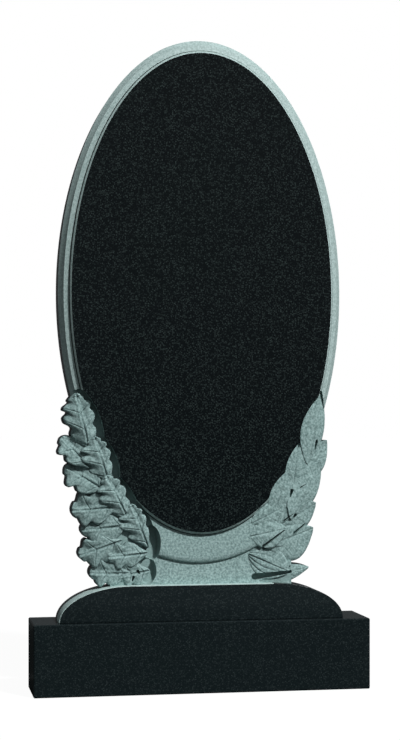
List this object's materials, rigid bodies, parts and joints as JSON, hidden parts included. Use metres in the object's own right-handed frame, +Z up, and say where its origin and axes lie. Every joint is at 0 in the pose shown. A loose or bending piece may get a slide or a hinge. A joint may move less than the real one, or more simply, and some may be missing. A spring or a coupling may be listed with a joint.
{
  "type": "headstone",
  "caption": "Oval granite headstone with a raised polished face, a honed frame and carved oak and laurel sprays, on a low rectangular stand.",
  "frame": {"origin": "middle of the stand's underside", "axes": "+Z up, the polished face looks towards -Y, +X to the right of someone who faces it"},
  "size_m": [0.7, 0.14, 1.3466],
  "materials": {
    "carved_stone": "honed and carved dark gabbro, light grey where the polish is cut away; the face and the hump in front are polished black",
    "polished_stone": "polished black gabbro with fine paler grains"
  },
  "bodies": {
    "root": {"stele": "carved_stone", "stand": "polished_stone"}
  },
  "joints": []
}
